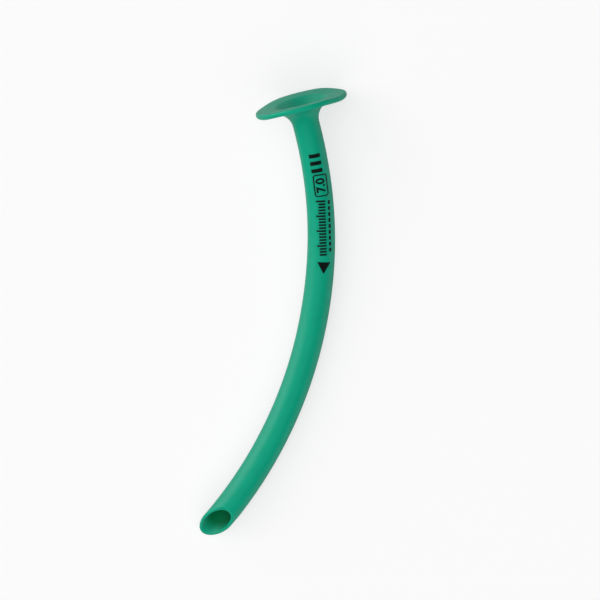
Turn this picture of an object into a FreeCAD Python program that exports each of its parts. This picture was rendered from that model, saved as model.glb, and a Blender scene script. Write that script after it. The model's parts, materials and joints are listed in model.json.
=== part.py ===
import FreeCAD, Part
import math
import os
import Sketcher

from FreeCAD import Matrix, Placement, Rotation, Vector

# Nasopharyngeal airway, size 28 on the French scale.
# The real one is moulded in one piece of soft PVC: a round flange that stops at
# the nostril, a curved tube, and a slanted tip that opens to one side.
#
# While it is drawn, the part stands in the mouth's own axes. The origin is the
# centre of the flange's outer face, +Z leaves the mouth, the tube runs down -Z
# and bends towards -X in the XZ plane, and the tip's cut looks towards -Y.
# The finished part is then laid on its side, as it comes to rest on a table.

# Driving dimensions, in millimetres and degrees: name, value, remark.
SIZES = [
    ("tube_outer_diameter", 9.33, "28 French is 28 thirds of a millimetre"),
    ("bore_diameter", 7.0, "way for air and for a suction catheter"),
    ("centre_line_length", 151.5, "flange's outer face to the middle of the slanted cut"),
    ("bend_radius", 151.6, "centre line of the curved tube"),
    ("flange_diameter", 30.8, "wider than any nostril"),
    ("flange_rim_thickness", 1.8, "at the rim"),
    ("flange_root_thickness", 2.5, "where the underside meets the tube"),
    ("rim_rounding", 0.75, "both edges of the rim"),
    ("throat_radius", 6.0, "flare of the mouth, from the flange's face into the bore"),
    ("neck_fillet_radius", 5.5, "hollow curve from the flange's underside to the tube"),
    ("neck_run", 2.0, "straight tube between the neck's fillet and the bend"),
    ("bevel_angle", 60.0, "between the slanted cut and a square one"),
    ("bevel_turn", 8.0, "turn of the cut about the tube, towards the outside of the bend"),
    ("tip_outer_rounding", 0.45, "outer edge of the cut, smoothed so that it slides in"),
    ("tip_inner_rounding", 0.25, "inner edge of the cut"),
    ("trim_length", 4.0, "spare tube past the cut, which the cut takes away"),
]

# Lengths that several features share.
BORE_RADIUS = "Sizes.bore_diameter / 2"
TUBE_RADIUS = "Sizes.tube_outer_diameter / 2"
FLANGE_RADIUS = "Sizes.flange_diameter / 2"
WALL = f"({TUBE_RADIUS} - {BORE_RADIUS})"
NECK = "(Sizes.flange_root_thickness + Sizes.neck_fillet_radius + Sizes.neck_run)"
CUT_REACH = f"({TUBE_RADIUS} * tan(Sizes.bevel_angle * 1 deg) + Sizes.trim_length)"

# Turns of the bend, in degrees: to the middle of the cut, and to the end of the tube
# before it is cut.
CUT_BEND = f"((Sizes.centre_line_length - {NECK}) / Sizes.bend_radius * 180 / pi)"
TUBE_BEND = (
    f"((Sizes.centre_line_length - {NECK} + {CUT_REACH}) / Sizes.bend_radius * 180 / pi)"
)

# Roundings, none of them larger than its wall can carry.
RIM_ROUNDING = "min(Sizes.rim_rounding; Sizes.flange_rim_thickness * 0.45)"
TIP_OUTER_ROUNDING = f"min(Sizes.tip_outer_rounding; {WALL} * 0.5)"
TIP_INNER_ROUNDING = f"min(Sizes.tip_inner_rounding; {WALL} * 0.3)"
NECK_FILLET = "Sizes.neck_fillet_radius"
THROAT = "Sizes.throat_radius"


def make_sheet(document):
    """Spreadsheet of the driving dimensions."""
    sheet = document.addObject("Spreadsheet::Sheet", "Sizes")
    for row, (name, value, remark) in enumerate(SIZES, start=1):
        sheet.set(f"A{row}", name)
        sheet.set(f"B{row}", str(value))
        sheet.set(f"C{row}", remark)
        sheet.setAlias(f"B{row}", name)
    document.recompute()
    return sheet


def worked_out(sheet, expression):
    """Plain number that an expression of the sheet's cells gives."""
    value = sheet.evalExpression(expression)
    return float(getattr(value, "Value", value))


def add_sketch(body, name, role):
    """Empty sketch on one of the body's origin planes."""
    plane = next(f for f in body.Origin.OriginFeatures if f.Role == role)
    sketch = body.newObject("Sketcher::SketchObject", name)
    sketch.AttachmentSupport = (plane, [""])
    sketch.MapMode = "FlatFace"
    return sketch


def bind(sketch, name, expression, *constraint):
    """Adds a dimension to the sketch and ties it to the sheet."""
    index = sketch.addConstraint(Sketcher.Constraint(*constraint))
    sketch.renameConstraint(index, name)
    sketch.setExpression(f"Constraints.{name}", expression)


def add_circle(sheet, sketch, name, expression):
    """Circle about the sketch's origin."""
    radius = worked_out(sheet, expression)
    curve = Part.Circle(Vector(0, 0, 0), Vector(0, 0, 1), radius)
    circle = sketch.addGeometry(curve, False)
    sketch.addConstraint(Sketcher.Constraint("Coincident", circle, 3, -1, 1))
    bind(sketch, name, expression, "Radius", circle, radius)


def add_tube_section(sheet, sketch):
    """Ring of the tube's wall, between the bore and the outside."""
    add_circle(sheet, sketch, "bore_radius", BORE_RADIUS)
    add_circle(sheet, sketch, "tube_radius", TUBE_RADIUS)


def add_flange(sheet, body):
    """Flange disc with its bore: a ring, a little thicker at its root than at its rim."""
    bore = worked_out(sheet, BORE_RADIUS)
    tube = worked_out(sheet, TUBE_RADIUS)
    rim = worked_out(sheet, FLANGE_RADIUS)
    rim_low = worked_out(sheet, "Sizes.flange_rim_thickness")
    root_low = worked_out(sheet, "Sizes.flange_root_thickness")
    corners = [
        Vector(bore, 0, 0),
        Vector(rim, 0, 0),
        Vector(rim, -rim_low, 0),
        Vector(tube, -root_low, 0),
        Vector(bore, -root_low, 0),
    ]
    sketch = add_sketch(body, "FlangeProfile", "XZ_Plane")
    lines = [
        sketch.addGeometry(Part.LineSegment(start, end), False)
        for start, end in zip(corners, corners[1:] + corners[:1])
    ]
    for line, following in zip(lines, lines[1:] + lines[:1]):
        sketch.addConstraint(Sketcher.Constraint("Coincident", line, 2, following, 1))
    face, edge, _, root, wall = lines
    sketch.addConstraint(Sketcher.Constraint("PointOnObject", face, 1, -1))
    sketch.addConstraint(Sketcher.Constraint("Horizontal", face))
    sketch.addConstraint(Sketcher.Constraint("Vertical", edge))
    sketch.addConstraint(Sketcher.Constraint("Horizontal", root))
    sketch.addConstraint(Sketcher.Constraint("Vertical", wall))
    bind(sketch, "bore", BORE_RADIUS, "DistanceX", -1, 1, face, 1, bore)
    bind(sketch, "rim", FLANGE_RADIUS, "DistanceX", -1, 1, face, 2, rim)
    bind(sketch, "tube", TUBE_RADIUS, "DistanceX", -1, 1, root, 1, tube)
    bind(sketch, "rim_low", "Sizes.flange_rim_thickness", "DistanceY", edge, 2, -1, 1, rim_low)
    bind(sketch, "root_low", "Sizes.flange_root_thickness", "DistanceY", root, 1, -1, 1, root_low)

    flange = body.newObject("PartDesign::Revolution", "Flange")
    flange.Profile = sketch
    flange.ReferenceAxis = (sketch, ["V_Axis"])
    flange.Angle = 360.0


def add_neck(sheet, body):
    """Straight start of the tube, under the flange."""
    sketch = add_sketch(body, "NeckSection", "XY_Plane")
    add_tube_section(sheet, sketch)
    neck = body.newObject("PartDesign::Pad", "Neck")
    neck.Profile = sketch
    neck.setExpression("Length", NECK)
    neck.Reversed = True


def add_bend(sheet, body):
    """Curved tube: its ring turned about the bend's centre, a little past the cut."""
    sketch = add_sketch(body, "BendSection", "XY_Plane")
    sketch.setExpression("AttachmentOffset.Base.z", f"-{NECK}")
    add_tube_section(sheet, sketch)
    away = worked_out(sheet, "Sizes.bend_radius")
    half = worked_out(sheet, TUBE_RADIUS)
    line = Part.LineSegment(Vector(-away, -half, 0), Vector(-away, half, 0))
    axis = sketch.addGeometry(line, True)
    sketch.addConstraint(Sketcher.Constraint("Symmetric", axis, 1, axis, 2, -1))
    bind(sketch, "axis_half", TUBE_RADIUS, "DistanceY", axis, 1, -1, 1, half)
    bind(sketch, "away", "Sizes.bend_radius", "DistanceX", axis, 1, -1, 1, away)
    bend = body.newObject("PartDesign::Revolution", "Bend")
    bend.Profile = sketch
    bend.ReferenceAxis = (sketch, ["Axis0"])
    bend.setExpression("Angle", TUBE_BEND)


def level_circle(sheet, shape, radius_expression, depth_expression):
    """Name of the circular edge about the mouth's axis, of this radius, at this depth."""
    radius = worked_out(sheet, radius_expression)
    depth = worked_out(sheet, depth_expression)
    for index, edge in enumerate(shape.Edges, start=1):
        if not isinstance(edge.Curve, Part.Circle):
            continue
        centre = edge.Curve.Center
        apart = (centre - Vector(0, 0, -depth)).Length + abs(edge.Curve.Radius - radius)
        if apart < 1e-6:
            return f"Edge{index}"
    raise RuntimeError(f"no circle of radius {radius} at depth {depth}")


def round_edges(body, name, radius_expression, edge_names):
    """Fillet on the named edges of the body's last feature."""
    base = body.Tip
    fillet = body.newObject("PartDesign::Fillet", name)
    fillet.Base = (base, edge_names)
    fillet.setExpression("Radius", radius_expression)
    body.Document.recompute()


def shape_mouth(sheet, body):
    """Neck fillet, flared mouth and rounded rim."""
    root = level_circle(sheet, body.Shape, TUBE_RADIUS, "Sizes.flange_root_thickness")
    round_edges(body, "NeckFillet", NECK_FILLET, [root])
    mouth = level_circle(sheet, body.Shape, BORE_RADIUS, "0")
    round_edges(body, "Throat", THROAT, [mouth])
    upper = level_circle(sheet, body.Shape, FLANGE_RADIUS, "0")
    lower = level_circle(sheet, body.Shape, FLANGE_RADIUS, "Sizes.flange_rim_thickness")
    round_edges(body, "RimRounding", RIM_ROUNDING, [upper, lower])


def cut_tip(sheet, body):
    """Slanted cut: everything past an inclined plane at the end of the centre line."""
    sketch = add_sketch(body, "BevelWindow", "XY_Plane")
    sideways = f"-Sizes.bend_radius * (1 - cos({CUT_BEND} * 1 deg))"
    down = f"-{NECK} - Sizes.bend_radius * sin({CUT_BEND} * 1 deg)"
    end = f"placement(vector({sideways}; 0; {down}); rotation(vector(0; 1; 0); {CUT_BEND}))"
    turn = "placement(vector(0; 0; 0); rotation(vector(0; 0; 1); Sizes.bevel_turn))"
    slant = "placement(vector(0; 0; 0); rotation(vector(1; 0; 0); -Sizes.bevel_angle))"
    sketch.setExpression("AttachmentOffset", f"{end} * {turn} * {slant}")
    window = f"({CUT_REACH} * 2 + Sizes.tube_outer_diameter)"
    add_circle(sheet, sketch, "window_radius", window)

    whole = body.Shape.Volume
    cut = body.newObject("PartDesign::Pocket", "Bevel")
    cut.Profile = sketch
    cut.setExpression("Length", window)
    body.Document.recompute()
    if not body.Shape.Volume < whole:
        raise RuntimeError("the slanted cut took nothing away")
    return sketch


def slanted_rings(shape, sketch):
    """Names of the outer and the inner edges of the slanted face."""
    middle = sketch.Placement.Base
    normal = sketch.Placement.Rotation.multVec(Vector(0, 0, 1))
    for face in shape.Faces:
        in_plane = abs((face.CenterOfMass - middle).dot(normal)) < 1e-4
        if isinstance(face.Surface, Part.Plane) and in_plane and len(face.Wires) == 2:
            break
    else:
        raise RuntimeError("the slanted face was not found")
    inner, outer = sorted(face.Wires, key=lambda ring: ring.Length)
    return [
        [
            f"Edge{index}"
            for index, edge in enumerate(shape.Edges, start=1)
            if any(edge.isSame(part) for part in ring.Edges)
        ]
        for ring in (outer, inner)
    ]


def round_tip(body, sketch):
    """Smooth edges of the slanted cut, outside and inside."""
    outer, _ = slanted_rings(body.Shape, sketch)
    round_edges(body, "TipOuterRounding", TIP_OUTER_ROUNDING, outer)
    _, inner = slanted_rings(body.Shape, sketch)
    round_edges(body, "TipInnerRounding", TIP_INNER_ROUNDING, inner)


def resting_placement(sheet, shape):
    """Placement that lays the part on the table Z = 0, as it comes to rest.

    The part lies on two points: the lower edge of the flange's rim, and the tube,
    which touches where its bend reaches lowest. For each place along the bend
    where it can touch, one lean lets the rim touch as well, and the part rolls
    until its centre of mass is as low as it can be.
    """
    tube_radius = worked_out(sheet, TUBE_RADIUS)
    neck = worked_out(sheet, NECK)
    bend_radius = worked_out(sheet, "Sizes.bend_radius")
    bend_centre = Vector(-bend_radius, 0, -neck)
    bend_end = math.radians(worked_out(sheet, CUT_BEND))
    side = Vector(0, -1, 0)
    weight_point = shape.Solids[0].CenterOfMass

    # The rim's lower edge is a ring of round section, tangent to the sloping underside.
    rounding = worked_out(sheet, RIM_ROUNDING)
    rim_radius = worked_out(sheet, FLANGE_RADIUS)
    rim_thickness = worked_out(sheet, "Sizes.flange_rim_thickness")
    root_thickness = worked_out(sheet, "Sizes.flange_root_thickness")
    slope = (root_thickness - rim_thickness) / (rim_radius - tube_radius)
    ring_radius = rim_radius - rounding
    ring_centre = Vector(0, 0, rounding * (math.hypot(1, slope) - slope) - rim_thickness)

    def up_vector(lean, place):
        outward = Vector(math.cos(place), 0, -math.sin(place))
        return side * math.cos(lean) - outward * math.sin(lean)

    def rim_low(up):
        return ring_centre.dot(up) - ring_radius * math.sqrt(1 - up.z**2) - rounding

    def touching(place):
        """Up vector with both points on the table, and the table's height."""
        low, high = 0.0, math.radians(80)
        while high - low > 1e-12:
            lean = (low + high) / 2
            up = up_vector(lean, place)
            tube_low = bend_centre.dot(up) - bend_radius * math.sin(lean) - tube_radius
            if tube_low > rim_low(up):
                low = lean
            else:
                high = lean
        up = up_vector(low, place)
        return up, rim_low(up)

    def weight_height(place):
        up, table = touching(place)
        return weight_point.dot(up) - table

    low, high = 0.0, bend_end
    while high - low > 1e-9:
        third = (high - low) / 3
        if weight_height(low + third) < weight_height(high - third):
            high -= third
        else:
            low += third
    up, table = touching((low + high) / 2)

    # Seen from above, the way out of the mouth is +Y.
    mouth = Vector(0, 0, 1)
    forward = (mouth - up * mouth.dot(up)).normalize()
    right = forward.cross(up)
    turn = Rotation(Matrix(
        right.x, right.y, right.z, 0,
        forward.x, forward.y, forward.z, 0,
        up.x, up.y, up.z, 0,
        0, 0, 0, 1,
    ))
    laid = shape.copy()
    laid.Placement = Placement(Vector(0, 0, 0), turn)
    box = laid.optimalBoundingBox(False, False)
    return Placement(Vector(-box.Center.x, -box.Center.y, -table), turn)


def build_airway(document, sheet):
    """The whole airway, as one body."""
    body = document.addObject("PartDesign::Body", "Airway")
    body.Label = "airway"
    add_flange(sheet, body)
    add_neck(sheet, body)
    add_bend(sheet, body)
    document.recompute()
    shape_mouth(sheet, body)
    window = cut_tip(sheet, body)
    round_tip(body, window)
    body.Placement = resting_placement(sheet, body.Shape)
    document.recompute()
    return body


document = FreeCAD.newDocument("nasopharyngeal_airway")
sizes = make_sheet(document)
subparts = [build_airway(document, sizes)]

for item in document.Objects:
    if "Invalid" in item.State or "Error" in item.State:
        raise RuntimeError(f"{item.Label} failed: {item.State}")
for subpart in subparts:
    shape = subpart.Shape
    if shape.isNull() or not shape.isValid() or len(shape.Solids) != 1:
        raise RuntimeError(f"{subpart.Label} is not one sound solid")

os.makedirs("parts", exist_ok=True)
for subpart in subparts:
    subpart.Shape.exportStep(f"parts/{subpart.Label}.step")
    box = subpart.Shape.optimalBoundingBox(False, False)
    print(
        f"{subpart.Label}: volume {subpart.Shape.Volume:.1f} mm3,"
        f" {box.XLength:.2f} x {box.YLength:.2f} x {box.ZLength:.2f} mm,"
        f" lowest point {box.ZMin:.4f}"
    )
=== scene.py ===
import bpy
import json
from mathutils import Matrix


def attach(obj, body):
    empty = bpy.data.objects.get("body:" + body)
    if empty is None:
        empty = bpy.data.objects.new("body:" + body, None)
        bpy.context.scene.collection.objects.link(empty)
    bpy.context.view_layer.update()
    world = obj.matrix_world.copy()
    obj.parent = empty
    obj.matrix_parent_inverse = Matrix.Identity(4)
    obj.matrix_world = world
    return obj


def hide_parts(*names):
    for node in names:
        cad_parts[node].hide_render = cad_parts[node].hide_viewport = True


bl_info = {
    "name": "Nasal Airway",
    "version": (1, 0, 0),
    "blender": (4, 5, 0),
    "location": "View3D > Sidebar > Airway",
    "description": "Soft PVC nasal airway with its printed marks, lying on a pale studio floor",
    "category": "Object",
}

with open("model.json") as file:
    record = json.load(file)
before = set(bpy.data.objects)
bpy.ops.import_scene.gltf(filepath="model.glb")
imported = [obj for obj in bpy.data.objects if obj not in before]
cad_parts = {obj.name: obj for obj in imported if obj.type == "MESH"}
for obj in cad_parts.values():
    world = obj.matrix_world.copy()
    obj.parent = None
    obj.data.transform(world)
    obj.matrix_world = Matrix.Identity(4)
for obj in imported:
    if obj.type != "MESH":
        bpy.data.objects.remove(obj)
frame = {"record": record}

import json
import math

import bmesh
import bpy
from bpy.props import FloatProperty, FloatVectorProperty, IntProperty, PointerProperty, StringProperty
from mathutils import Matrix, Quaternion, Vector

MM = 0.001
CAD_NODE = "airway"
CAD_BODY = "root"

# The bore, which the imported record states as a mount, gives the mouth's place and direction.
BORE = next(mount for mount in frame["record"]["mounts"] if mount["name"] == "catheter_bore")

# Width of the camera's sensor, in millimetres.
SENSOR_WIDTH = 36.0

# Corners round the tube, and steps along its bend.
AROUND = 96
BEND_STEPS = 96

# Segments of the roundings: the throat, all plain edges, and the hollow under the flange.
THROAT_SEGMENTS = 12
EDGE_SEGMENTS = 6
HOLLOW_SEGMENTS = 16

# Two places this close together count as one.
NEAR = 0.001 * MM

# Corners this close together are merged where the cut's face meets the bore.
MERGE_DISTANCE = 0.05 * MM

# Cosine of the widest angle between the tube and an edge that runs along it.
LEAST_ALONG = 0.7

# The tube's end is straight for this far, so that its lip has smooth walls to be rounded from.
TIP_RUN = 5 * MM

# The two bevels of the lip stay at least this far apart.
LIP_GAP = 0.04 * MM

# Bevel profile of the lip. 0.5 is round on a square edge, and a sharper edge wants less.
LIP_PROFILE = 0.43

# Name of the attribute that says how deep in the bore a place is, and the depth at which it is 1.
DEPTH = "bore_depth"
FULL_DEPTH = 2 * MM

# Strips that a mark is cut into, along the tube and round it, and the shift that keeps their
# cuts off the mark's own edges.
STRIP_LENGTH = 1.0 * MM
STRIP_WIDTH = 0.25 * MM
STRIP_SHIFT = 0.01 * MM

# Width round the tube that every mark fits in.
PRINT_WIDTH = 5 * MM

# Size of the font over the height of its figures, and how far they are swollen to look bold.
FONT_SIZE = 1.4
FONT_SWELL = 0.13 * MM

# Numbers of a mix node's sockets, which have the same names for each kind of data.
COLOUR_A = 6
COLOUR_B = 7
COLOUR_OUT = 2
NUMBER_A = 2
NUMBER_B = 3
NUMBER_OUT = 0


def linear(code):
    """Linear colour, with alpha, of an sRGB hex code."""
    parts = [int(code[place : place + 2], 16) / 255 for place in (1, 3, 5)]
    return [
        part / 12.92 if part <= 0.04045 else ((part + 0.055) / 1.055) ** 2.4 for part in parts
    ] + [1.0]


class AirwaySizes(bpy.types.PropertyGroup):
    """Sizes of the moulding."""

    tube_diameter: FloatProperty(
        name="Tube", description="Outside of the tube, 28 French",
        default=9.33 * MM, unit="LENGTH", precision=5,
    )
    neck_diameter: FloatProperty(
        name="Neck", description="Outside of the tube just under the flange, where it is drawn in",
        default=8.86 * MM, unit="LENGTH", precision=5,
    )
    neck_draw: FloatProperty(
        name="Neck draw", description="Stretch of the tube over which the neck widens",
        default=60 * MM, unit="LENGTH", precision=5,
    )
    bore_diameter: FloatProperty(
        name="Bore", description="Way through the tube",
        default=2 * BORE["dims"]["r_mm"] * MM, unit="LENGTH", precision=5,
    )
    centre_line_length: FloatProperty(
        name="Length", description="From the flange's face to the middle of the slanted cut",
        default=153.0 * MM, unit="LENGTH", precision=5,
    )
    bend_radius: FloatProperty(
        name="Bend radius", description="Centre line of the curved tube",
        default=151.6 * MM, unit="LENGTH", precision=5,
    )
    neck_length: FloatProperty(
        name="Neck length", description="Straight start, from the flange's face to the bend",
        default=10 * MM, unit="LENGTH", precision=5,
    )
    flange_diameter: FloatProperty(
        name="Flange", description="Outside of the flange",
        default=30.8 * MM, unit="LENGTH", precision=5,
    )
    rim_thickness: FloatProperty(
        name="Rim thickness", description="Flange at its rim",
        default=1.8 * MM, unit="LENGTH", precision=5,
    )
    root_thickness: FloatProperty(
        name="Root thickness", description="Flange where its underside meets the neck",
        default=2.5 * MM, unit="LENGTH", precision=5,
    )
    rim_rounding: FloatProperty(
        name="Rim rounding", description="Both edges of the rim",
        default=0.75 * MM, unit="LENGTH", precision=5,
    )
    flange_bow: FloatProperty(
        name="Flange bow", description="How far the soft flange's sides sag, and its other sides rise",
        default=0.42 * MM, unit="LENGTH", precision=5,
    )
    funnel_diameter: FloatProperty(
        name="Funnel", description="Edge in the flange's face where the funnel into the bore starts",
        default=17.8 * MM, unit="LENGTH", precision=5,
    )
    face_dip: FloatProperty(
        name="Face dip", description="How far the flange's face dips from its rim to the funnel",
        default=0.3 * MM, unit="LENGTH", precision=5,
    )
    funnel_slope: FloatProperty(
        name="Funnel slope", description="Funnel's wall, from the flange's plane",
        default=math.radians(38), subtype="ANGLE",
    )
    funnel_edge: FloatProperty(
        name="Funnel edge", description="Rounding of the funnel's edge",
        default=2.0 * MM, unit="LENGTH", precision=5,
    )
    throat_radius: FloatProperty(
        name="Throat radius", description="Flare from the funnel into the bore",
        default=5 * MM, unit="LENGTH", precision=5,
    )
    neck_fillet: FloatProperty(
        name="Neck fillet", description="Hollow curve from the flange's underside to the neck",
        default=5.5 * MM, unit="LENGTH", precision=5,
    )
    bevel_angle: FloatProperty(
        name="Bevel", description="Between the slanted cut and a square one",
        default=math.radians(58), subtype="ANGLE",
    )
    bevel_turn: FloatProperty(
        name="Bevel turn", description="Turn of the slanted cut from the upper side, outwards",
        default=math.radians(5), subtype="ANGLE",
    )
    tip_outer_rounding: FloatProperty(
        name="Tip outer rounding", description="Outer edge of the slanted cut",
        default=0.6 * MM, unit="LENGTH", precision=5,
    )
    tip_inner_rounding: FloatProperty(
        name="Tip inner rounding", description="Inner edge of the slanted cut",
        default=0.45 * MM, unit="LENGTH", precision=5,
    )
    mount_depth: FloatProperty(
        name="Mount depth", description="From the flange's face to the middle of the record's bore",
        default=8 * MM, unit="LENGTH", precision=5,
    )
    lean: FloatProperty(
        name="Lean", description="Turn of the bend about the mouth's axis, as the part lies",
        default=math.radians(16.81), subtype="ANGLE",
    )


class AirwayPrint(bpy.types.PropertyGroup):
    """Sizes and places of the printed marks, along the tube from the flange's face."""

    turn: FloatProperty(
        name="Turn", description="Middle of the print, round the tube from its upper side",
        default=math.radians(12), subtype="ANGLE",
    )
    thickness: FloatProperty(
        name="Ink", description="Thickness of the ink",
        default=0.03 * MM, unit="LENGTH", precision=6,
    )
    line: FloatProperty(
        name="Line", description="Width of a printed line",
        default=0.42 * MM, unit="LENGTH", precision=5,
    )
    bars_start: FloatProperty(
        name="Bars", description="Start of the three broad bars",
        default=17.6 * MM, unit="LENGTH", precision=5,
    )
    bars_length: FloatProperty(
        name="Bars' length", description="Length of the three bars together",
        default=6.4 * MM, unit="LENGTH", precision=5,
    )
    bar_thickness: FloatProperty(
        name="Bar thickness", description="Thickness of one bar, along the tube",
        default=1.3 * MM, unit="LENGTH", precision=5,
    )
    bar_reach: FloatProperty(
        name="Bar reach", description="Length of one bar, round the tube",
        default=3.7 * MM, unit="LENGTH", precision=5,
    )
    bar_pitch: FloatProperty(
        name="Bar pitch", description="From one bar to the next",
        default=2.5 * MM, unit="LENGTH", precision=5,
    )
    bar_offset: FloatProperty(
        name="Bar offset", description="Bars from the middle of the print, round the tube",
        default=0.6 * MM, unit="LENGTH", precision=5,
    )
    box_start: FloatProperty(
        name="Box start", description="Start of the frame round the number",
        default=24.6 * MM, unit="LENGTH", precision=5,
    )
    box_length: FloatProperty(
        name="Box length", description="Length of the frame round the number",
        default=7.5 * MM, unit="LENGTH", precision=5,
    )
    box_width: FloatProperty(
        name="Box width", description="Width of the frame round the number",
        default=4.8 * MM, unit="LENGTH", precision=5,
    )
    box_rounding: FloatProperty(
        name="Box rounding", description="Corners of the frame round the number",
        default=0.9 * MM, unit="LENGTH", precision=5,
    )
    number: StringProperty(
        name="Number", description="Bore in millimetres, as a plain number",
        default=f"{2 * BORE['dims']['r_mm']:.1f}",
    )
    number_height: FloatProperty(
        name="Number height", description="Height of its figures",
        default=2.9 * MM, unit="LENGTH", precision=5,
    )
    scale_start: FloatProperty(
        name="Scale start", description="First tick of the scale",
        default=33.6 * MM, unit="LENGTH", precision=5,
    )
    scale_ticks: IntProperty(
        name="Ticks", description="Ticks on the scale, one a millimetre", default=19,
    )
    tick_thickness: FloatProperty(
        name="Tick thickness", description="Thickness of a tick",
        default=0.6 * MM, unit="LENGTH", precision=5,
    )
    tick_reach: FloatProperty(
        name="Tick reach", description="Length of a tick",
        default=2.4 * MM, unit="LENGTH", precision=5,
    )
    long_tick_reach: FloatProperty(
        name="Long tick reach", description="Length of every fifth tick",
        default=3.1 * MM, unit="LENGTH", precision=5,
    )
    tick_foot: FloatProperty(
        name="Tick foot", description="Foot of the ticks, from the middle of the print",
        default=-0.6 * MM, unit="LENGTH", precision=5,
    )
    dash_length: FloatProperty(
        name="Dash length", description="Length of a dash beside the scale, one every two ticks",
        default=1.3 * MM, unit="LENGTH", precision=5,
    )
    dash_thickness: FloatProperty(
        name="Dash thickness", description="Thickness of a dash beside the scale",
        default=0.8 * MM, unit="LENGTH", precision=5,
    )
    dash_row: FloatProperty(
        name="Dash row", description="Middle of the dashes, from the middle of the print",
        default=-1.9 * MM, unit="LENGTH", precision=5,
    )
    arrow_start: FloatProperty(
        name="Arrow start", description="A little before the arrowhead's base",
        default=53.2 * MM, unit="LENGTH", precision=5,
    )
    arrow_size: FloatProperty(
        name="Arrow size", description="About the arrowhead's width, and a little over its length",
        default=4.4 * MM, unit="LENGTH", precision=5,
    )


class AirwayColours(bpy.types.PropertyGroup):
    """Colours of the moulding, its print and the floor."""

    pvc: FloatVectorProperty(
        name="PVC", description="Green of the moulding",
        subtype="COLOR", size=4, min=0, max=1, default=linear("#009C7B"),
    )
    pvc_pale: FloatVectorProperty(
        name="Pale PVC", description="Paler clouds in the green",
        subtype="COLOR", size=4, min=0, max=1, default=linear("#00A685"),
    )
    # Painted shade: this darker green stands in for the shade deep inside the bore. Only the bore's
    # dullness, a roughness, comes from the mandrel.
    pvc_painted_bore_shade: FloatVectorProperty(
        name="Deep PVC", description="The green inside the bore, where the mandrel left it dull",
        subtype="COLOR", size=4, min=0, max=1, default=linear("#00683E"),
    )
    ink: FloatVectorProperty(
        name="Ink", description="Black print",
        subtype="COLOR", size=4, min=0, max=1, default=linear("#040E0B"),
    )
    floor: FloatVectorProperty(
        name="Floor", description="Pale paper under the part",
        subtype="COLOR", size=4, min=0, max=1, default=linear("#FAFAFA"),
    )
    floor_gloss: FloatVectorProperty(
        name="Floor in gloss", description="The paper as the part's gloss shows it",
        subtype="COLOR", size=4, min=0, max=1, default=linear("#B4B4B4"),
    )


class AirwayStudio(bpy.types.PropertyGroup):
    """Camera, lamps, room and floor."""

    azimuth: FloatProperty(
        name="Azimuth", description="Camera round the part, from the -Y side",
        default=math.radians(97.01), subtype="ANGLE",
    )
    elevation: FloatProperty(
        name="Elevation", description="Camera above the floor",
        default=math.radians(72.67), subtype="ANGLE",
    )
    roll: FloatProperty(
        name="Roll", description="Turn of the camera about its own view",
        default=math.radians(-107.73), subtype="ANGLE",
    )
    distance: FloatProperty(
        name="Distance", description="Camera from the point of the floor that it looks at",
        default=1196.4 * MM, unit="LENGTH",
    )
    target: FloatVectorProperty(
        name="Target", description="Point of the floor in the middle of the picture",
        subtype="TRANSLATION", size=3, default=(7.36 * MM, 2.06 * MM, 0),
    )
    lens: FloatProperty(name="Lens", description="Focal length in millimetres", default=214.14)
    lamp_distance: FloatProperty(
        name="Lamp distance", description="Both lamps from the frame's origin",
        default=2.6, unit="LENGTH",
    )
    key_side: FloatVectorProperty(
        name="Key lamp's side", description="Its direction: right, up and towards the camera",
        subtype="DIRECTION", size=3, default=(-0.90, 0.36, 0.36),
    )
    key_size: FloatProperty(
        name="Key lamp's size", description="Edge of the square lamp", default=3.0, unit="LENGTH",
    )
    key_power: FloatProperty(
        name="Key lamp's power", description="In watts", default=48, unit="POWER",
    )
    front_side: FloatVectorProperty(
        name="Front lamp's side", description="Its direction: right, up and towards the camera",
        subtype="DIRECTION", size=3, default=(-0.15, -0.35, 1),
    )
    front_size: FloatProperty(
        name="Front lamp's size", description="Edge of the square lamp", default=3.6, unit="LENGTH",
    )
    front_power: FloatProperty(
        name="Front lamp's power", description="In watts", default=80, unit="POWER",
    )
    room_light: FloatProperty(
        name="Room light", description="Light of the white room on the part", default=0.04,
    )
    room_tone: FloatProperty(
        name="Room tone", description="The white room as the camera sees it, where 1 is white",
        default=0.95,
    )
    paper_glow: FloatProperty(
        name="Paper's glow", description="How far the paper is lit from behind, for the camera alone",
        default=0.7,
    )
    paper_size: FloatProperty(
        name="Paper's size", description="Edge of the square paper", default=8, unit="LENGTH",
    )


def scene_sizes():
    return bpy.context.scene.airway_sizes


def mouth_axes():
    """Placement of the mouth's own axes in the frame.

    The origin is the centre of the flange's face and +Z leaves the mouth. The tube
    runs down -Z and bends towards -X, and its slanted cut looks towards -Y.
    """
    sizes = scene_sizes()
    out = Vector(BORE["axis"]).normalized()
    middle = Vector(BORE["pos_m"]) + out * sizes.mount_depth
    side = Quaternion(out, sizes.lean) @ Vector((1, 0, 0))
    turn = Matrix((side, out.cross(side), out)).transposed().to_4x4()
    return Matrix.Translation(middle) @ turn


def bend_turn(along):
    """Turn of the bend, in radians, at this distance along the centre line."""
    sizes = scene_sizes()
    return max(along - sizes.neck_length, 0) / sizes.bend_radius


def bend_pivot():
    """Centre of the bend, in the mouth's own axes."""
    sizes = scene_sizes()
    return Vector((-sizes.bend_radius, 0, -sizes.neck_length))


def deselect_all():
    bpy.ops.object.select_all(action="DESELECT")


def select_only(piece):
    """Makes one piece the active one, with nothing else selected."""
    deselect_all()
    piece.select_set(True)
    bpy.context.view_layer.objects.active = piece


def in_edit_mode(piece):
    """Opens one piece for editing."""
    select_only(piece)
    bpy.ops.object.mode_set(mode="EDIT")


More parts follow.
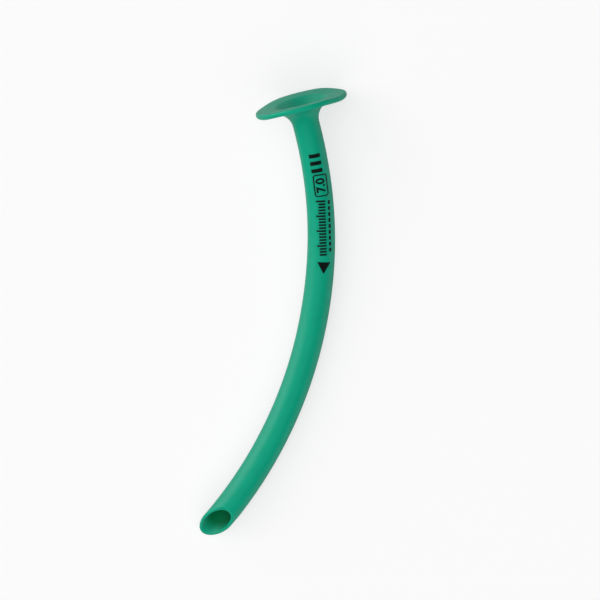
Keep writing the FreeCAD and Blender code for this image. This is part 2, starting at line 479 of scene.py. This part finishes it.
def select_edges(piece, wanted):
    """Selects the edges with both ends where wanted says, and nothing else."""
    bpy.ops.mesh.select_mode(type="EDGE")
    bpy.ops.mesh.select_all(action="DESELECT")
    mesh = bmesh.from_edit_mesh(piece.data)
    for edge in mesh.edges:
        if all(wanted(vertex.co) for vertex in edge.verts):
            edge.select_set(True)
    bmesh.update_edit_mesh(piece.data)


def put_in_order(piece):
    """Sorts the edges and faces by their corners, since a spin leaves them in any order."""
    mesh = bmesh.from_edit_mesh(piece.data)
    mesh.verts.index_update()
    count = len(mesh.verts)

    def rank(part):
        """Number that no other edge, or face, has: its three lowest corners name it."""
        lowest = sorted(vertex.index for vertex in part.verts)[:3]
        return sum(index * count**power for power, index in enumerate(lowest))

    for parts in (mesh.edges, mesh.faces):
        parts.sort(key=rank)
    bmesh.update_edit_mesh(piece.data)


def on_ring(radius, height):
    """Test for a place on a ring about the mouth's axis."""
    return lambda place: (
        abs(place.xy.length - radius) < NEAR and abs(place.z - height) < NEAR
    )


def extrude_ring(radius, height, new_radius, new_height):
    """Extrudes the selected ring along the mouth's axis and scales it."""
    bpy.ops.mesh.extrude_region_move(
        TRANSFORM_OT_translate={"value": (0, 0, new_height - height)}
    )
    scale = new_radius / radius
    bpy.ops.transform.resize(value=(scale, scale, 1), center_override=(0, 0, new_height))


def add_modifier(piece, name, kind, **settings):
    """Adds a modifier, sets it up and applies it."""
    modifier = piece.modifiers.new(name, kind)
    for setting, value in settings.items():
        setattr(modifier, setting, value)
    select_only(piece)
    bpy.ops.object.modifier_apply(modifier=name)


def settle(piece):
    """Moves a piece's place and turn into its mesh."""
    select_only(piece)
    bpy.ops.object.transform_apply(location=True, rotation=True, scale=True)


def add_node(tree, kind, settings=None, numbered=None, **named):
    """Adds a shader node with its settings, and feeds its named and its numbered inputs.

    An input is fed a plain value, or is linked to a (node, output) pair.
    """
    node = tree.nodes.new(kind)
    for name, value in (settings or {}).items():
        setattr(node, name, value)
    inputs = {name.replace("_", " "): value for name, value in named.items()}
    inputs.update(numbered or {})
    for socket, value in inputs.items():
        if isinstance(value, tuple) and isinstance(value[0], bpy.types.Node):
            tree.links.new(value[0].outputs[value[1]], node.inputs[socket])
        else:
            node.inputs[socket].default_value = value
    return node


def new_material(name):
    """Material with no nodes yet."""
    material = bpy.data.materials.new(name)
    material.use_nodes = True
    material.node_tree.nodes.clear()
    return material


def moulded_soft_pvc():
    """Plasticised PVC, dip-moulded: satin, slightly clouded, and a little see-through.

    Light spreads under its skin, so its shaded side stays bright and green. The mould
    leaves a very fine orange peel outside, and the mandrel a dull bore. The bore's green
    is also darkened with depth, as painted shade.
    """
    colours = bpy.context.scene.airway_colours
    material = new_material("moulded_soft_pvc")
    tree = material.node_tree
    place = add_node(tree, "ShaderNodeTexCoord")
    clouds = add_node(
        tree, "ShaderNodeTexNoise", Vector=(place, "Object"),
        Scale=1 / (3.5 * MM), Detail=3.0, Roughness=0.6,
    )
    tint = add_node(
        tree, "ShaderNodeMix", {"data_type": "RGBA"}, Factor=(clouds, "Fac"),
        numbered={COLOUR_A: colours.pvc, COLOUR_B: colours.pvc_pale},
    )
    # Painted shade: with depth in the bore, from either mouth, the green is mixed towards the darker
    # bore colour.
    depth = add_node(tree, "ShaderNodeAttribute", {"attribute_name": DEPTH})
    green = add_node(
        tree, "ShaderNodeMix", {"data_type": "RGBA"}, Factor=(depth, "Fac"),
        numbered={COLOUR_A: (tint, COLOUR_OUT), COLOUR_B: colours.pvc_painted_bore_shade},
    )
    peel = add_node(
        tree, "ShaderNodeTexNoise", Vector=(place, "Object"), Scale=1 / (0.5 * MM), Detail=2.0,
    )
    bump = add_node(
        tree, "ShaderNodeBump", Strength=0.1, Distance=0.01 * MM, Height=(peel, "Fac"),
    )
    satin = add_node(
        tree, "ShaderNodeMapRange", Value=(clouds, "Fac"), To_Min=0.32, To_Max=0.42,
    )
    dull = 0.8
    roughness = add_node(
        tree, "ShaderNodeMix", {"data_type": "FLOAT"}, Factor=(depth, "Fac"),
        numbered={NUMBER_A: (satin, "Result"), NUMBER_B: dull},
    )
    surface = add_node(
        tree, "ShaderNodeBsdfPrincipled",
        Base_Color=(green, COLOUR_OUT), Roughness=(roughness, NUMBER_OUT),
        Normal=(bump, "Normal"), IOR=1.53, Specular_IOR_Level=0.35,
        Subsurface_Weight=0.35, Subsurface_Scale=1.6 * MM, Subsurface_Radius=(0.2, 1.0, 0.8),
    )
    add_node(tree, "ShaderNodeOutputMaterial", Surface=(surface, "BSDF"))
    return material


def pad_print_ink():
    """Black vinyl ink, pad-printed: matt, and faintly uneven where the pad lifted."""
    colours = bpy.context.scene.airway_colours
    material = new_material("pad_print_ink")
    tree = material.node_tree
    place = add_node(tree, "ShaderNodeTexCoord")
    speckle = add_node(
        tree, "ShaderNodeTexNoise", Vector=(place, "Object"), Scale=1 / (0.3 * MM), Detail=2.0,
    )
    matt = add_node(
        tree, "ShaderNodeMapRange", Value=(speckle, "Fac"), To_Min=0.6, To_Max=0.75,
    )
    surface = add_node(
        tree, "ShaderNodeBsdfPrincipled",
        Base_Color=colours.ink, Roughness=(matt, "Result"), IOR=1.5,
    )
    add_node(tree, "ShaderNodeOutputMaterial", Surface=(surface, "BSDF"))
    return material


def matt_paper():
    """Background paper: plain and matt, and lit from behind for the camera alone.

    That keeps the part's shadow on it pale. In the part's gloss the paper shows dimmer.
    """
    colours = bpy.context.scene.airway_colours
    material = new_material("matt_paper")
    tree = material.node_tree
    rays = add_node(tree, "ShaderNodeLightPath")
    tone = add_node(
        tree, "ShaderNodeMix", {"data_type": "RGBA"}, Factor=(rays, "Is Glossy Ray"),
        numbered={COLOUR_A: colours.floor, COLOUR_B: colours.floor_gloss},
    )
    surface = add_node(
        tree, "ShaderNodeBsdfPrincipled",
        Base_Color=(tone, COLOUR_OUT), Roughness=0.9, Specular_IOR_Level=0.0,
    )
    glow = add_node(tree, "ShaderNodeEmission", Color=colours.floor, Strength=1.0)
    share = add_node(
        tree, "ShaderNodeMapRange", Value=(rays, "Is Camera Ray"),
        To_Max=bpy.context.scene.airway_studio.paper_glow,
    )
    sheet = add_node(
        tree, "ShaderNodeMixShader",
        numbered={1: (surface, "BSDF"), 2: (glow, "Emission")}, Fac=(share, "Result"),
    )
    add_node(tree, "ShaderNodeOutputMaterial", Surface=(sheet, "Shader"))
    return material


def spin_wall(radius, end_turn):
    """Adds a ring at the end of the neck and spins it into one wall of the bend."""
    sizes = scene_sizes()
    bpy.ops.mesh.primitive_circle_add(
        vertices=AROUND, radius=radius, location=(0, 0, -sizes.neck_length)
    )
    bpy.ops.mesh.spin(
        steps=BEND_STEPS, angle=end_turn, center=bend_pivot(), axis=(0, -1, 0)
    )


def draw_in_neck(piece):
    """Narrows the start of the outer wall towards the flange."""
    sizes = scene_sizes()
    select_edges(piece, on_ring(sizes.tube_diameter / 2, -sizes.neck_length))
    scale = sizes.neck_diameter / sizes.tube_diameter
    bpy.ops.transform.resize(
        value=(scale, scale, 1), center_override=(0, 0, -sizes.neck_length),
        use_proportional_edit=True, proportional_edit_falloff="SMOOTH",
        proportional_size=sizes.neck_draw,
    )


def throat_height():
    """Height at which the funnel's straight wall would meet the bore's wall."""
    sizes = scene_sizes()
    run = (sizes.funnel_diameter - sizes.bore_diameter) / 2
    return -sizes.face_dip - run * math.tan(sizes.funnel_slope)


def raise_flange(piece):
    """Extrudes the bore's ring up to the mouth, out to the rim and back down to the neck."""
    sizes = scene_sizes()
    bore = sizes.bore_diameter / 2
    neck = sizes.neck_diameter / 2
    rim = sizes.flange_diameter / 2
    start = -sizes.neck_length
    select_edges(piece, on_ring(bore, start))
    edge = sizes.funnel_diameter / 2
    throat = throat_height()
    extrude_ring(bore, start, bore, throat)
    extrude_ring(bore, throat, edge, -sizes.face_dip)
    extrude_ring(edge, -sizes.face_dip, rim, 0)
    extrude_ring(rim, 0, rim, -sizes.rim_thickness)
    extrude_ring(rim, -sizes.rim_thickness, neck, -sizes.root_thickness)
    root = on_ring(neck, -sizes.root_thickness)
    end = on_ring(neck, start)
    select_edges(piece, lambda place: root(place) or end(place))
    bpy.ops.mesh.bridge_edge_loops()


def round_ring(piece, radius, height, reach, segments):
    """Rounds a ring of edges about the mouth's axis, from this far to either side of it."""
    select_edges(piece, on_ring(radius, height))
    bpy.ops.mesh.bevel(
        offset=reach, offset_type="OFFSET", segments=segments, profile=0.5, affect="EDGES"
    )


def round_mouth(piece):
    """Flares the mouth, and rounds the rim and the hollow under the flange."""
    sizes = scene_sizes()
    rim = sizes.flange_diameter / 2
    edge = sizes.funnel_diameter / 2
    face_slope = math.atan2(sizes.face_dip, rim - edge)
    throat_reach = sizes.throat_radius * math.tan((math.radians(90) - sizes.funnel_slope) / 2)
    edge_reach = sizes.funnel_edge * math.tan((sizes.funnel_slope - face_slope) / 2)
    for radius, height, reach, segments in (
        (sizes.bore_diameter / 2, throat_height(), throat_reach, THROAT_SEGMENTS),
        (edge, -sizes.face_dip, edge_reach, EDGE_SEGMENTS),
        (rim, 0, sizes.rim_rounding, EDGE_SEGMENTS),
        (rim, -sizes.rim_thickness, sizes.rim_rounding, EDGE_SEGMENTS),
        (sizes.neck_diameter / 2, -sizes.root_thickness, sizes.neck_fillet, HOLLOW_SEGMENTS),
    ):
        round_ring(piece, radius, height, reach, segments)


def bow_flange(piece):
    """Lets the soft flange sag at two sides and rise at the other two."""
    sizes = scene_sizes()
    rim = sizes.flange_diameter / 2
    # The outermost part of each side is moved, and the flange follows less and less inwards.
    outermost = 0.92 * rim
    follows = 0.8 * rim
    for axis, lift in ((0, -sizes.flange_bow), (1, sizes.flange_bow)):
        select_edges(
            piece,
            lambda place: abs(place[axis]) > outermost and place.z > -sizes.root_thickness,
        )
        bpy.ops.transform.translate(
            value=(0, 0, lift),
            use_proportional_edit=True, proportional_edit_falloff="SMOOTH",
            proportional_size=follows,
        )


class SlantedCut:
    """Plane of the slanted cut, in the mouth's own axes."""

    def __init__(self, sizes):
        turn = bend_turn(sizes.centre_line_length)
        self.along = Vector((-math.sin(turn), 0, -math.cos(turn)))
        outward = Vector((math.cos(turn), 0, -math.sin(turn)))
        self.middle = bend_pivot() + outward * sizes.bend_radius
        upper = (
            Vector((0, -1, 0)) * math.cos(sizes.bevel_turn) + outward * math.sin(sizes.bevel_turn)
        )
        self.normal = (
            math.cos(sizes.bevel_angle) * self.along + math.sin(sizes.bevel_angle) * upper
        )
        # Radius halfway through the tube's wall.
        self.wall_middle = (sizes.tube_diameter + sizes.bore_diameter) / 4

    def holds(self, place):
        """Whether a place lies in the cut's plane."""
        return abs((place - self.middle).dot(self.normal)) < NEAR

    def off_axis(self, place):
        """The way from the tube's axis straight out to a place near the cut."""
        away = place - self.middle
        return away - self.along * away.dot(self.along)

    def is_outside(self, place):
        """Whether a place is nearer to the tube's outside than to its bore."""
        return self.off_axis(place).length > self.wall_middle

    def depth(self, place):
        """How deep in the tube a place is, square to the cut."""
        return (self.middle - place).dot(self.normal)


def cut_tip(piece, cut):
    """Cuts both walls short of the slanted plane, and extrudes them straight to it."""
    sizes = scene_sizes()
    bpy.ops.mesh.select_mode(type="VERT")
    bpy.ops.mesh.select_all(action="SELECT")
    bpy.ops.mesh.bisect(
        plane_co=cut.middle - cut.along * TIP_RUN, plane_no=cut.normal, clear_outer=True,
        threshold=NEAR,
    )
    # The corners that the plane left on the bend's rings go, so one stays on each long edge.
    mesh = bmesh.from_edit_mesh(piece.data)
    spare = []
    for vertex in mesh.verts:
        if not vertex.is_boundary:
            continue
        inner = [edge for edge in vertex.link_edges if not edge.is_boundary]
        ends = [(edge.other_vert(vertex).co - vertex.co).normalized() for edge in inner]
        if not any(abs(end.dot(cut.along)) > LEAST_ALONG for end in ends):
            spare.append(vertex)
    bpy.ops.mesh.select_all(action="DESELECT")
    for vertex in spare:
        vertex.select_set(True)
    bmesh.update_edit_mesh(piece.data)
    bpy.ops.mesh.dissolve_verts()
    bpy.ops.mesh.select_mode(type="EDGE")
    bpy.ops.mesh.select_all(action="DESELECT")
    bpy.ops.mesh.select_non_manifold(
        extend=False, use_wire=False, use_boundary=True, use_multi_face=False,
        use_non_contiguous=False, use_verts=False,
    )
    bpy.ops.mesh.extrude_region_move(TRANSFORM_OT_translate={"value": cut.along * TIP_RUN})
    # The outer ring is extruded and scaled down onto the bore's, which closes the cut's face.
    select_edges(piece, lambda place: cut.holds(place) and cut.is_outside(place))
    bpy.ops.mesh.extrude_region_move(TRANSFORM_OT_translate={"value": (0, 0, 0)})
    scale = sizes.bore_diameter / sizes.tube_diameter
    bpy.ops.transform.resize(value=(scale, scale, scale), center_override=cut.middle)
    select_edges(piece, cut.holds)
    bpy.ops.mesh.remove_doubles(threshold=MERGE_DISTANCE)
    bpy.ops.mesh.select_all(action="SELECT")
    bpy.ops.mesh.normals_make_consistent(inside=False)


def facing_edges(mesh, cut):
    """For each face of the cut, its edge at the bore and the one outside, each with its ends."""
    for face in mesh.polygons:
        if not all(cut.holds(mesh.vertices[index].co) for index in face.vertices):
            continue
        pair = {}
        for key in face.edge_keys:
            ends = [mesh.vertices[index].co for index in key]
            outside = [cut.is_outside(end) for end in ends]
            if outside[0] == outside[1]:
                pair[outside[0]] = (key, *ends)
        yield pair[False], pair[True]


def round_tip(piece, cut):
    """Rounds both edges of the cut by one radius each, however slanted the wall is there.

    Where the two bevels would meet, the outer one takes nine tenths of the wall at most, and
    the inner one stops just short of it.
    """
    sizes = scene_sizes()
    mesh = piece.data
    index_of = {edge.key: edge.index for edge in mesh.edges}
    reach = {}
    for (inner, start, end), (outer, *outer_ends) in facing_edges(mesh, cut):
        inner_middle = (start + end) / 2
        outer_middle = (outer_ends[0] + outer_ends[1]) / 2
        across = outer_middle - inner_middle
        room = across.cross((end - start).normalized()).length - LIP_GAP
        inner_lean = cut.off_axis(inner_middle).angle(-cut.normal)
        outer_lean = cut.off_axis(outer_middle).angle(cut.normal)
        outer_reach = min(sizes.tip_outer_rounding * math.tan(outer_lean / 2), 0.9 * room)
        inner_reach = min(sizes.tip_inner_rounding * math.tan(inner_lean / 2), room - outer_reach)
        reach[index_of[outer]] = outer_reach
        reach[index_of[inner]] = inner_reach
    widest = max(reach.values())
    weights = mesh.attributes.new("bevel_weight_edge", "FLOAT", "EDGE")
    for index, length in reach.items():
        weights.data[index].value = length / widest
    add_modifier(
        piece, "tip_rounding", "BEVEL", width=widest, segments=EDGE_SEGMENTS,
        profile=LIP_PROFILE, limit_method="WEIGHT", offset_type="OFFSET", use_clamp_overlap=False,
    )


def mark_bore(piece, cut):
    """Notes how deep in the bore each place is, from either mouth, for the material's painted shade
    and dullness.
    """
    sizes = scene_sizes()
    pivot = bend_pivot()
    values = []
    for vertex in piece.data.vertices:
        place = vertex.co
        if place.z > -sizes.neck_length:
            off_axis = place.xy.length
        else:
            arm = math.hypot(place.x - pivot.x, place.z - pivot.z)
            off_axis = math.hypot(arm - sizes.bend_radius, place.y)
        depth = min(cut.depth(place), throat_height() - place.z)
        inside = off_axis < cut.wall_middle
        values.append(min(max(depth / FULL_DEPTH, 0), 1) if inside else 0.0)
    layer = piece.data.attributes.new(DEPTH, "FLOAT", "POINT")
    layer.data.foreach_set("value", values)


class AIRWAY_OT_add_moulding(bpy.types.Operator):
    """Models the one-piece soft moulding: flange, neck, curved tube and slanted tip"""

    bl_idname = "airway.add_moulding"
    bl_label = "Add Moulding"

    def execute(self, context):
        sizes = scene_sizes()
        cut = SlantedCut(sizes)
        outer = sizes.tube_diameter / 2
        # The bend is spun 1 mm past the farthest place where it is cut off.
        overshoot = outer * math.tan(sizes.bevel_angle) - TIP_RUN + 1 * MM
        end_turn = bend_turn(sizes.centre_line_length + overshoot)

        deselect_all()
        bpy.ops.mesh.primitive_circle_add(vertices=AROUND, radius=outer, location=(0, 0, 0))
        piece = context.active_object
        piece.name = piece.data.name = "soft_moulding"
        in_edit_mode(piece)
        bpy.ops.mesh.delete(type="VERT")
        spin_wall(outer, end_turn)
        draw_in_neck(piece)
        spin_wall(sizes.bore_diameter / 2, end_turn)
        raise_flange(piece)
        put_in_order(piece)
        cut_tip(piece, cut)
        put_in_order(piece)
        round_mouth(piece)
        bow_flange(piece)
        bpy.ops.object.mode_set(mode="OBJECT")
        round_tip(piece, cut)
        mark_bore(piece, cut)
        bpy.ops.object.shade_smooth()

        piece.matrix_world = mouth_axes()
        settle(piece)
        piece.data.materials.append(moulded_soft_pvc())
        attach(piece, CAD_BODY)
        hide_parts(CAD_NODE)
        return {"FINISHED"}


def print_place(along):
    """Placement of a mark, flat over the tube: +X towards the mouth, +Z away from the tube."""
    sizes = scene_sizes()
    marks = bpy.context.scene.airway_print
    if along < sizes.neck_length:
        raise RuntimeError("the print would start on the flange's neck")
    pivot = bend_pivot()
    bend = (
        Matrix.Translation(pivot)
        @ Matrix.Rotation(bend_turn(along), 4, "Y")
        @ Matrix.Translation(-pivot)
    )
    round_tube = Matrix.Rotation(marks.turn, 4, "Z")
    above = Matrix.Translation((0, -sizes.tube_diameter, -sizes.neck_length))
    # The mark's +X is the mouth's +Z, and its +Z is the tube's upper side, -Y.
    upright = Matrix(((0, -1, 0), (0, 0, -1), (1, 0, 0))).to_4x4()
    return mouth_axes() @ bend @ round_tube @ above @ upright


def slice_mark(piece, length, width):
    """Cuts a flat mark into small strips, so that it can lie round the tube."""
    in_edit_mode(piece)
    for axis, extent, step in ((0, length, STRIP_LENGTH), (1, width, STRIP_WIDTH)):
        normal = [0, 0, 0]
        normal[axis] = 1
        count = int(extent / step)
        for index in range(-count // 2, count // 2 + 1):
            place = [0, 0, 0]
            place[axis] = index * step + STRIP_SHIFT
            bpy.ops.mesh.select_all(action="SELECT")
            bpy.ops.mesh.bisect(plane_co=place, plane_no=normal)
    bpy.ops.object.mode_set(mode="OBJECT")


def lay_on_tube(piece, name, along, length, width):
    """Lays a flat mark, of about this length and width, on the tube in the ink's thickness."""
    marks = bpy.context.scene.airway_print
    tube = bpy.data.objects["soft_moulding"]
    piece.name = piece.data.name = name
    slice_mark(piece, length, width)
    piece.matrix_world = print_place(along)
    add_modifier(
        piece, "lay_on_tube", "SHRINKWRAP", target=tube, wrap_method="PROJECT",
        use_project_z=True, use_negative_direction=True, use_positive_direction=False,
        offset=marks.thickness,
    )
    # Half of the ink's thickness more reaches into the moulding, so that no gap shows.
    add_modifier(
        piece, "ink_thickness", "SOLIDIFY", thickness=1.5 * marks.thickness, offset=-1,
    )
    settle(piece)
    return piece


def add_bar(length, width, at):
    """Flat bar: a plane, scaled."""
    bpy.ops.mesh.primitive_plane_add(size=1, location=(at[0], at[1], 0))
    bpy.ops.transform.resize(value=(length, width, 1), center_override=(at[0], at[1], 0))


def new_mark():
    """Empty mesh object, open for editing, that marks are added to."""
    deselect_all()
    bpy.ops.mesh.primitive_plane_add(size=1 * MM, location=(0, 0, 0))
    piece = bpy.context.active_object
    in_edit_mode(piece)
    bpy.ops.mesh.delete(type="VERT")
    return piece


class AIRWAY_OT_add_print(bpy.types.Operator):
    """Prints plain marks on the tube: three bars, a framed number, a scale and an arrowhead"""

    bl_idname = "airway.add_print"
    bl_label = "Add Print"

    def execute(self, context):
        marks = context.scene.airway_print
        ink = pad_print_ink()
        pieces = [
            self.broad_bars(marks),
            self.number_frame(marks),
            self.number(marks),
            self.depth_scale(marks),
            self.arrowhead(marks),
        ]
        for piece in pieces:
            piece.data.materials.clear()
            piece.data.materials.append(ink)
            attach(piece, CAD_BODY)
        return {"FINISHED"}

    def broad_bars(self, marks):
        """Three broad bars, a little off the middle of the print."""
        piece = new_mark()
        for index in (-1, 0, 1):
            place = (index * marks.bar_pitch, marks.bar_offset)
            add_bar(marks.bar_thickness, marks.bar_reach, place)
        bpy.ops.object.mode_set(mode="OBJECT")
        middle = marks.bars_start + marks.bars_length / 2
        length = marks.bars_length + STRIP_LENGTH
        return lay_on_tube(piece, "broad_bars", middle, length, PRINT_WIDTH)

    def number_frame(self, marks):
        """Rounded frame: a plane with its corners bevelled, inset, and its middle removed."""
        piece = new_mark()
        add_bar(marks.box_length, marks.box_width, (0, 0))
        bpy.ops.mesh.select_mode(type="VERT")
        bpy.ops.mesh.select_all(action="SELECT")
        bpy.ops.mesh.bevel(
            offset=marks.box_rounding, segments=EDGE_SEGMENTS, affect="VERTICES"
        )
        bpy.ops.mesh.select_mode(type="FACE")
        bpy.ops.mesh.select_all(action="SELECT")
        bpy.ops.mesh.inset(thickness=marks.line, depth=0)
        bpy.ops.mesh.delete(type="FACE")
        bpy.ops.object.mode_set(mode="OBJECT")
        middle = marks.box_start + marks.box_length / 2
        return lay_on_tube(piece, "number_frame", middle, marks.box_length, marks.box_width)

    def number(self, marks):
        """Plain figures, turned to a mesh."""
        deselect_all()
        bpy.ops.object.text_add(location=(0, 0, 0))
        text = bpy.context.active_object
        text.data.body = marks.number
        text.data.size = marks.number_height * FONT_SIZE
        text.data.align_x = "CENTER"
        text.data.align_y = "CENTER"
        text.data.offset = FONT_SWELL
        bpy.ops.object.convert(target="MESH")
        piece = bpy.context.active_object
        middle = marks.box_start + marks.box_length / 2
        return lay_on_tube(piece, "bore_number", middle, marks.box_length, marks.box_width)

    def depth_scale(self, marks):
        """Bold ticks a millimetre apart, every fifth one longer, and a row of small dashes."""
        piece = new_mark()
        count = marks.scale_ticks
        length = (count - 1) * MM
        for index in range(count):
            reach = marks.long_tick_reach if index % 5 == 0 else marks.tick_reach
            place = (length / 2 - index * MM, marks.tick_foot + reach / 2)
            add_bar(marks.tick_thickness, reach, place)
        for index in range(count // 2):
            place = (length / 2 - (2 * index + 0.5) * MM, marks.dash_row)
            add_bar(marks.dash_length, marks.dash_thickness, place)
        bpy.ops.object.mode_set(mode="OBJECT")
        middle = marks.scale_start + length / 2
        return lay_on_tube(piece, "depth_scale", middle, length + STRIP_LENGTH, PRINT_WIDTH)

    def arrowhead(self, marks):
        """Solid arrowhead that points to the tip: a three-cornered circle."""
        piece = new_mark()
        size = marks.arrow_size
        # The corners of a three-cornered circle are 1.73 radii apart.
        radius = 0.6 * size
        bpy.ops.mesh.primitive_circle_add(
            vertices=3, radius=radius, fill_type="NGON", rotation=(0, 0, math.pi / 2)
        )
        bpy.ops.object.mode_set(mode="OBJECT")
        # The strips reach a little past those corners.
        extent = 1.3 * size
        return lay_on_tube(piece, "arrowhead", marks.arrow_start + size / 2, extent, extent)


def camera_turn(studio):
    """Direction back to the camera, and the camera's turn."""
    level = math.cos(studio.elevation)
    back = Vector((
        math.sin(studio.azimuth) * level,
        -math.cos(studio.azimuth) * level,
        math.sin(studio.elevation),
    ))
    turn = (-back).to_track_quat("-Z", "Y") @ Quaternion((0, 0, 1), studio.roll)
    return back, turn


def add_lamp(name, towards, distance, size, power, in_gloss=True):
    """Large soft lamp that shines on the part from a direction."""
    deselect_all()
    bpy.ops.object.light_add(type="AREA", location=towards * distance)
    lamp = bpy.context.active_object
    lamp.name = lamp.data.name = name
    lamp.rotation_mode = "QUATERNION"
    lamp.rotation_quaternion = towards.to_track_quat("Z", "Y")
    lamp.data.shape = "SQUARE"
    lamp.data.size = size
    lamp.data.energy = power
    lamp.visible_glossy = in_gloss


def even_room(studio):
    """White room that lights the part from all round, and is pale to the camera's eye."""
    world = bpy.data.worlds.new("even_room")
    world.use_nodes = True
    tree = world.node_tree
    tree.nodes.clear()
    rays = add_node(tree, "ShaderNodeLightPath")
    level = add_node(
        tree, "ShaderNodeMapRange", Value=(rays, "Is Camera Ray"),
        To_Min=studio.room_light, To_Max=studio.room_tone,
    )
    room = add_node(
        tree, "ShaderNodeBackground", Color=(1, 1, 1, 1), Strength=(level, "Result")
    )
    add_node(tree, "ShaderNodeOutputWorld", Surface=(room, "Background"))
    return world


class AIRWAY_OT_add_stage(bpy.types.Operator):
    """Sets up the pale floor, the two soft lamps, the white room and the camera"""

    bl_idname = "airway.add_stage"
    bl_label = "Add Stage"

    def execute(self, context):
        scene = context.scene
        studio = scene.airway_studio
        back, turn = camera_turn(studio)
        right = turn @ Vector((1, 0, 0))
        up = turn @ Vector((0, 1, 0))

        deselect_all()
        bpy.ops.mesh.primitive_plane_add(size=studio.paper_size, location=(0, 0, 0))
        floor = context.active_object
        floor.name = floor.data.name = "paper_floor"
        floor.data.materials.append(matt_paper())

        view = Matrix((right, up, back)).transposed()
        far = studio.lamp_distance
        key = (view @ Vector(studio.key_side)).normalized()
        add_lamp("key_lamp", key, far, studio.key_size, studio.key_power)
        front = (view @ Vector(studio.front_side)).normalized()
        add_lamp("front_lamp", front, far, studio.front_size, studio.front_power, in_gloss=False)

        scene.world = even_room(studio)
        scene.view_settings.view_transform = "Standard"

        deselect_all()
        bpy.ops.object.camera_add(location=Vector(studio.target) + back * studio.distance)
        camera = context.active_object
        camera.name = camera.data.name = "photo_camera"
        camera.rotation_mode = "QUATERNION"
        camera.rotation_quaternion = turn
        camera.data.sensor_width = SENSOR_WIDTH
        camera.data.lens = studio.lens
        scene.camera = camera
        return {"FINISHED"}


class AIRWAY_PT_panel(bpy.types.Panel):
    """Lists the steps that make the airway, and all its settings"""

    bl_idname = "AIRWAY_PT_panel"
    bl_label = "Nasal Airway"
    bl_space_type = "VIEW_3D"
    bl_region_type = "UI"
    bl_category = "Airway"

    def draw(self, context):
        layout = self.layout
        for step in STEPS:
            layout.operator(step.bl_idname)
        for title, name in GROUPS:
            box = layout.box()
            box.label(text=title)
            group = getattr(context.scene, name)
            for key in group.bl_rna.properties.keys():
                if key not in {"rna_type", "name"}:
                    box.prop(group, key)


STEPS = (AIRWAY_OT_add_moulding, AIRWAY_OT_add_print, AIRWAY_OT_add_stage)
GROUPS = (
    ("Moulding", "airway_sizes"),
    ("Print", "airway_print"),
    ("Colours", "airway_colours"),
    ("Studio", "airway_studio"),
)
SETTINGS = {
    "airway_sizes": AirwaySizes,
    "airway_print": AirwayPrint,
    "airway_colours": AirwayColours,
    "airway_studio": AirwayStudio,
}


def register():
    for item in (*SETTINGS.values(), *STEPS, AIRWAY_PT_panel):
        bpy.utils.register_class(item)
    for name, group in SETTINGS.items():
        setattr(bpy.types.Scene, name, PointerProperty(type=group))


def unregister():
    for name in SETTINGS:
        delattr(bpy.types.Scene, name)
    for item in reversed((*SETTINGS.values(), *STEPS, AIRWAY_PT_panel)):
        bpy.utils.unregister_class(item)


def main():
    """Makes the airway."""
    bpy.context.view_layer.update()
    register()
    bpy.ops.airway.add_moulding()
    bpy.ops.airway.add_print()
    bpy.ops.airway.add_stage()


if __name__ == "__main__":
    main()
